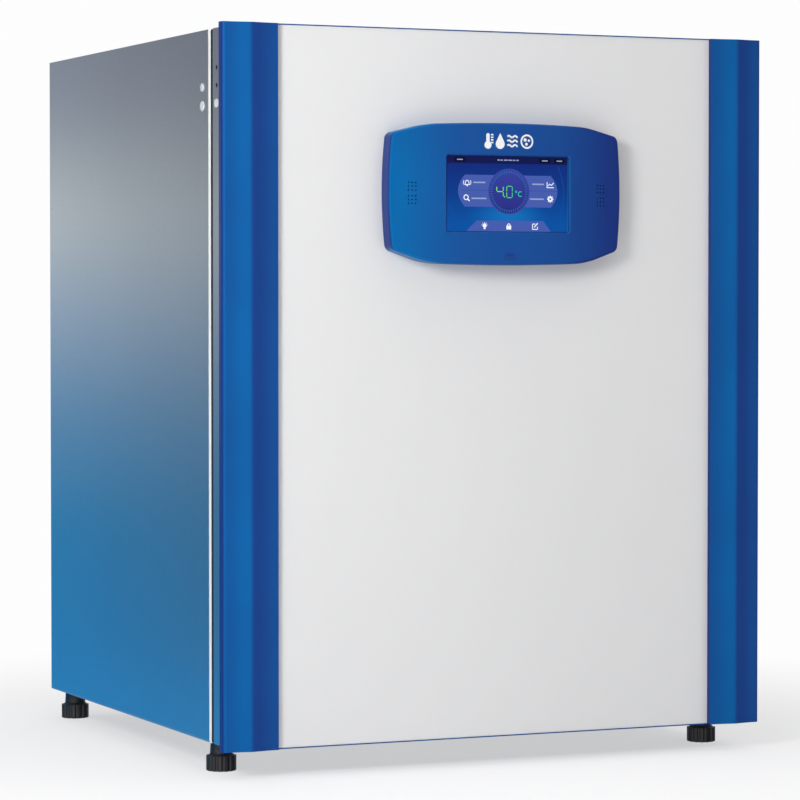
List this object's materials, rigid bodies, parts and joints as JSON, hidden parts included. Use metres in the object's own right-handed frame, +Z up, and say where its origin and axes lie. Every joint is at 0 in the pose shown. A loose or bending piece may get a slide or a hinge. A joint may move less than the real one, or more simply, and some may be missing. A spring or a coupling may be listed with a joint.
{
  "type": "laboratory incubator",
  "caption": "Floor or bench standing laboratory incubator with a heated fan-circulated chamber, an inner glass door and an insulated outer door carrying a touch-screen control panel.",
  "frame": {"origin": "centre of the footprint's bounding box, on the floor plane under the feet", "axes": "+X to the right seen from the front, +Y from the door to the back, +Z up; the door faces -Y"},
  "size_m": [0.716, 0.715, 0.883],
  "materials": {
    "steel_grey": "satin",
    "white_coat": "satin",
    "trim_blue": "satin",
    "panel_blue": "satin",
    "galvanised": "matte",
    "white_plastic": "satin",
    "black_plastic": "matte",
    "stainless": "satin",
    "hinge_steel": "satin",
    "pin_steel": "polished",
    "foam": "matte",
    "foil": "satin",
    "gasket_grey": "matte",
    "silicone": "matte",
    "clear_glass": "polished",
    "screen_glass": "gloss",
    "board_green": "satin",
    "motor_metal": "satin",
    "brass_fit": "satin",
    "plug_grey": "satin",
    "magnet_black": "satin"
  },
  "bodies": {
    "cabinet": {"left_side_panel": "steel_grey", "right_side_panel": "steel_grey", "top_panel": "steel_grey", "rear_panel": "galvanised", "base_plate": "galvanised", "front_frame": "white_plastic", "cabinet_insulation": "foam", "heater_foil": "foil", "chamber_liner": "stainless", "shelf_racks": "stainless", "upper_shelf": "stainless", "middle_shelf": "stainless", "lower_shelf": "stainless", "humidity_pan": "stainless", "air_duct_cover": "stainless", "fan_motor": "motor_metal", "temperature_probe": "stainless", "co2_sensor": "plug_grey", "chamber_gasket": "silicone", "inner_door_brackets": "stainless", "catch_magnet": "magnet_black", "cabinet_hinge_leaves": "hinge_steel", "hinge_pins": "pin_steel", "cabinet_hinge_screws": "pin_steel", "cabinet_hole_plugs": "plug_grey", "foot_collars": "black_plastic", "rear_service_cover": "galvanised", "control_board": "board_green", "power_inlet": "black_plastic", "gas_inlet_barbs": "brass_fit", "port_sleeve": "white_plastic", "rear_panel_screws": "pin_steel"},
    "outer_door": {"door_front_panel": "white_coat", "door_pan": "steel_grey", "door_insulation": "foam", "door_inner_liner": "white_plastic", "door_gasket": "gasket_grey", "left_trim_strip": "trim_blue", "right_trim_strip": "trim_blue", "door_edge_rails": "trim_blue", "door_hole_plug": "plug_grey", "door_hinge_leaves": "hinge_steel", "door_hinge_screws": "pin_steel", "panel_rear_housing": "panel_blue", "panel_front_bezel": "panel_blue", "touch_screen": "screen_glass", "display_board": "board_green", "usb_socket": "pin_steel"},
    "inner_door": {"inner_door_glass": "clear_glass", "inner_door_hinges": "stainless", "inner_door_knob": "stainless", "catch_plate": "stainless"},
    "fan": {"fan_impeller": "black_plastic", "fan_shaft": "pin_steel"},
    "power_rocker": {"power_rocker": "black_plastic"},
    "port_stopper": {"port_stopper": "silicone"},
    "front_left_foot": {"front_left_foot": "black_plastic"},
    "front_right_foot": {"front_right_foot": "black_plastic"},
    "rear_left_foot": {"rear_left_foot": "black_plastic"},
    "rear_right_foot": {"rear_right_foot": "black_plastic"}
  },
  "joints": [
    {"name": "outer_door_swing", "type": "hinge", "parent": "cabinet", "child": "outer_door", "pos_m": [0.351, -0.2825, 0.458], "axis": [0, 0, 1], "range_deg": [0, 120]},
    {"name": "inner_door_swing", "type": "hinge", "parent": "cabinet", "child": "inner_door", "pos_m": [0.28, -0.2835, 0.458], "axis": [0, 0, 1], "range_deg": [0, 105]},
    {"name": "fan_spin", "type": "hinge", "parent": "cabinet", "child": "fan", "pos_m": [0, 0.2255, 0.69], "axis": [0, 1, 0], "continuous": true},
    {"name": "power_switch_rock", "type": "hinge", "parent": "cabinet", "child": "power_rocker", "pos_m": [0.2645, 0.3325, 0.112], "axis": [1, 0, 0], "range_deg": [0, 12]},
    {"name": "port_stopper_pull", "type": "slide", "parent": "cabinet", "child": "port_stopper", "axis": [0, 1, 0], "range_m": [0, 0.06]},
    {"name": "front_left_foot_screw", "type": "slide", "parent": "cabinet", "child": "front_left_foot", "axis": [0, 0, -1], "range_m": [0, 0.012]},
    {"name": "front_right_foot_screw", "type": "slide", "parent": "cabinet", "child": "front_right_foot", "axis": [0, 0, -1], "range_m": [0, 0.012]},
    {"name": "rear_left_foot_screw", "type": "slide", "parent": "cabinet", "child": "rear_left_foot", "axis": [0, 0, -1], "range_m": [0, 0.012]},
    {"name": "rear_right_foot_screw", "type": "slide", "parent": "cabinet", "child": "rear_right_foot", "axis": [0, 0, -1], "range_m": [0, 0.012]}
  ],
  "couplings": [
    {"joint": "inner_door_swing", "follows": "outer_door_swing", "ratio": 0.85}
  ]
}
